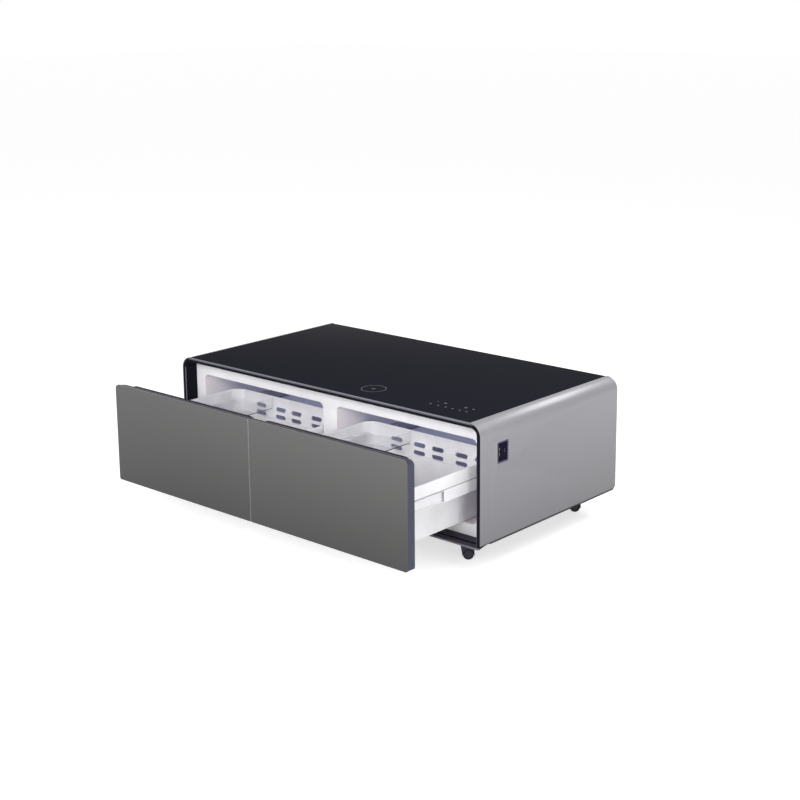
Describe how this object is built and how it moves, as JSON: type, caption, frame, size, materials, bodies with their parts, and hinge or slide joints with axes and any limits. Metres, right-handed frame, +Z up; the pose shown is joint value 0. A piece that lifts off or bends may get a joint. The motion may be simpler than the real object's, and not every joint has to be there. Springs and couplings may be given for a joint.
{
  "type": "refrigerated coffee table",
  "caption": "Low wide coffee table with a glass top and brushed metal sides; refrigerated drawers pull out on telescopic slides, each with a stepped bin and a clear sliding tray; on casters.",
  "frame": {"origin": "centre of the bounding box's bottom face, on the floor, with both drawers open as pictured", "axes": "+Z up, -Y to the front where the drawers pull out, +X to the side with the charging socket plate"},
  "size_m": [1.3, 1, 0.45],
  "materials": {
    "black_glass": "polished, opaque",
    "grey_glass": "polished, opaque",
    "silver_steel": "satin, faint upright brushing",
    "black_gloss": "gloss",
    "slate_plastic": "satin",
    "white_plastic": "semi-gloss",
    "clear_plastic": "clear",
    "white_steel": "white paint",
    "zinc_steel": "zinc plated",
    "black_steel": "black paint",
    "black_rubber": "matt",
    "caster_plastic": "satin",
    "foam": "rigid foam",
    "aluminium": "mill finish",
    "dark_plastic": "satin",
    "circuit_green": "lacquered board"
  },
  "bodies": {
    "cabinet": {"glass_top": "black_glass", "top_deck": "white_steel", "wireless_charger": "dark_plastic", "touch_board": "circuit_green", "side_panel_left": "silver_steel", "side_panel_right": "silver_steel", "front_frame": "black_gloss", "liner": "white_plastic", "insulation": "foam", "base_pan": "black_steel", "back_panel": "black_steel", "compressor": "black_steel", "condenser": "aluminium", "fan_shroud": "dark_plastic", "power_inlet": "dark_plastic", "control_box": "dark_plastic", "drain_tray": "dark_plastic", "socket_plate": "dark_plastic", "socket_module": "dark_plastic", "evaporator_left": "aluminium", "evaporator_right": "aluminium", "left_fixed_rail_a": "zinc_steel", "left_fixed_rail_b": "zinc_steel", "right_fixed_rail_a": "zinc_steel", "right_fixed_rail_b": "zinc_steel", "front_left_caster_plate": "zinc_steel", "front_right_caster_plate": "zinc_steel", "back_left_caster_plate": "zinc_steel", "back_right_caster_plate": "zinc_steel"},
    "left_drawer": {"left_front_glass": "grey_glass", "left_front_carrier": "slate_plastic", "left_inner_door": "white_plastic", "left_gasket": "black_rubber", "left_bin": "white_plastic", "left_drawer_rail_a": "white_steel", "left_drawer_rail_b": "white_steel"},
    "left_middle_a": {"left_middle_rail_a": "white_steel"},
    "left_middle_b": {"left_middle_rail_b": "white_steel"},
    "left_tray": {"left_clear_tray": "clear_plastic"},
    "right_drawer": {"right_front_glass": "grey_glass", "right_front_carrier": "slate_plastic", "right_inner_door": "white_plastic", "right_gasket": "black_rubber", "right_bin": "white_plastic", "right_drawer_rail_a": "white_steel", "right_drawer_rail_b": "white_steel"},
    "right_middle_a": {"right_middle_rail_a": "white_steel"},
    "right_middle_b": {"right_middle_rail_b": "white_steel"},
    "right_tray": {"right_clear_tray": "clear_plastic"},
    "fan": {"fan_rotor": "dark_plastic"},
    "front_left_swivel": {"front_left_caster_hood": "caster_plastic"},
    "front_left_wheels": {"front_left_caster_wheels": "black_rubber"},
    "front_right_swivel": {"front_right_caster_hood": "caster_plastic"},
    "front_right_wheels": {"front_right_caster_wheels": "black_rubber"},
    "back_left_swivel": {"back_left_caster_hood": "caster_plastic"},
    "back_left_wheels": {"back_left_caster_wheels": "black_rubber"},
    "back_right_swivel": {"back_right_caster_hood": "caster_plastic"},
    "back_right_wheels": {"back_right_caster_wheels": "black_rubber"}
  },
  "joints": [
    {"name": "left_drawer_slide", "type": "slide", "parent": "cabinet", "child": "left_drawer", "axis": [0, -1, 0], "range_m": [-0.3, 0.11]},
    {"name": "left_middle_a_slide", "type": "slide", "parent": "cabinet", "child": "left_middle_a", "axis": [0, -1, 0], "range_m": [-0.15, 0.055]},
    {"name": "left_middle_b_slide", "type": "slide", "parent": "cabinet", "child": "left_middle_b", "axis": [0, -1, 0], "range_m": [-0.15, 0.055]},
    {"name": "left_tray_slide", "type": "slide", "parent": "left_drawer", "child": "left_tray", "axis": [1, 0, 0], "range_m": [0, 0.33]},
    {"name": "right_drawer_slide", "type": "slide", "parent": "cabinet", "child": "right_drawer", "axis": [0, -1, 0], "range_m": [-0.3, 0.11]},
    {"name": "right_middle_a_slide", "type": "slide", "parent": "cabinet", "child": "right_middle_a", "axis": [0, -1, 0], "range_m": [-0.15, 0.055]},
    {"name": "right_middle_b_slide", "type": "slide", "parent": "cabinet", "child": "right_middle_b", "axis": [0, -1, 0], "range_m": [-0.15, 0.055]},
    {"name": "right_tray_slide", "type": "slide", "parent": "right_drawer", "child": "right_tray", "axis": [1, 0, 0], "range_m": [0, 0.33]},
    {"name": "fan_spin", "type": "hinge", "parent": "cabinet", "child": "fan", "pos_m": [-0.12001, 0.4285, 0.1343], "axis": [1, 0, 0], "continuous": true},
    {"name": "front_left_caster_swivel", "type": "hinge", "parent": "cabinet", "child": "front_left_swivel", "pos_m": [-0.541, -0.127, 0.0757], "axis": [0, 0, 1], "continuous": true},
    {"name": "front_left_caster_roll", "type": "hinge", "parent": "front_left_swivel", "child": "front_left_wheels", "pos_m": [-0.53803, -0.12432, 0.0165], "axis": [0.6691, -0.7431, 0], "continuous": true},
    {"name": "front_right_caster_swivel", "type": "hinge", "parent": "cabinet", "child": "front_right_swivel", "pos_m": [0.541, -0.127, 0.0757], "axis": [0, 0, 1], "continuous": true},
    {"name": "front_right_caster_roll", "type": "hinge", "parent": "front_right_swivel", "child": "front_right_wheels", "pos_m": [0.54397, -0.12432, 0.0165], "axis": [0.6691, -0.7431, 0], "continuous": true},
    {"name": "back_left_caster_swivel", "type": "hinge", "parent": "cabinet", "child": "back_left_swivel", "pos_m": [-0.541, 0.422, 0.0757], "axis": [0, 0, 1], "continuous": true},
    {"name": "back_left_caster_roll", "type": "hinge", "parent": "back_left_swivel", "child": "back_left_wheels", "pos_m": [-0.53803, 0.42468, 0.0165], "axis": [0.6691, -0.7431, 0], "continuous": true},
    {"name": "back_right_caster_swivel", "type": "hinge", "parent": "cabinet", "child": "back_right_swivel", "pos_m": [0.541, 0.422, 0.0757], "axis": [0, 0, 1], "continuous": true},
    {"name": "back_right_caster_roll", "type": "hinge", "parent": "back_right_swivel", "child": "back_right_wheels", "pos_m": [0.54397, 0.42468, 0.0165], "axis": [0.6691, -0.7431, 0], "continuous": true}
  ],
  "couplings": [
    {"joint": "left_middle_a_slide", "follows": "left_drawer_slide", "ratio": 0.5},
    {"joint": "left_middle_b_slide", "follows": "left_drawer_slide", "ratio": 0.5},
    {"joint": "right_middle_a_slide", "follows": "right_drawer_slide", "ratio": 0.5},
    {"joint": "right_middle_b_slide", "follows": "right_drawer_slide", "ratio": 0.5}
  ]
}
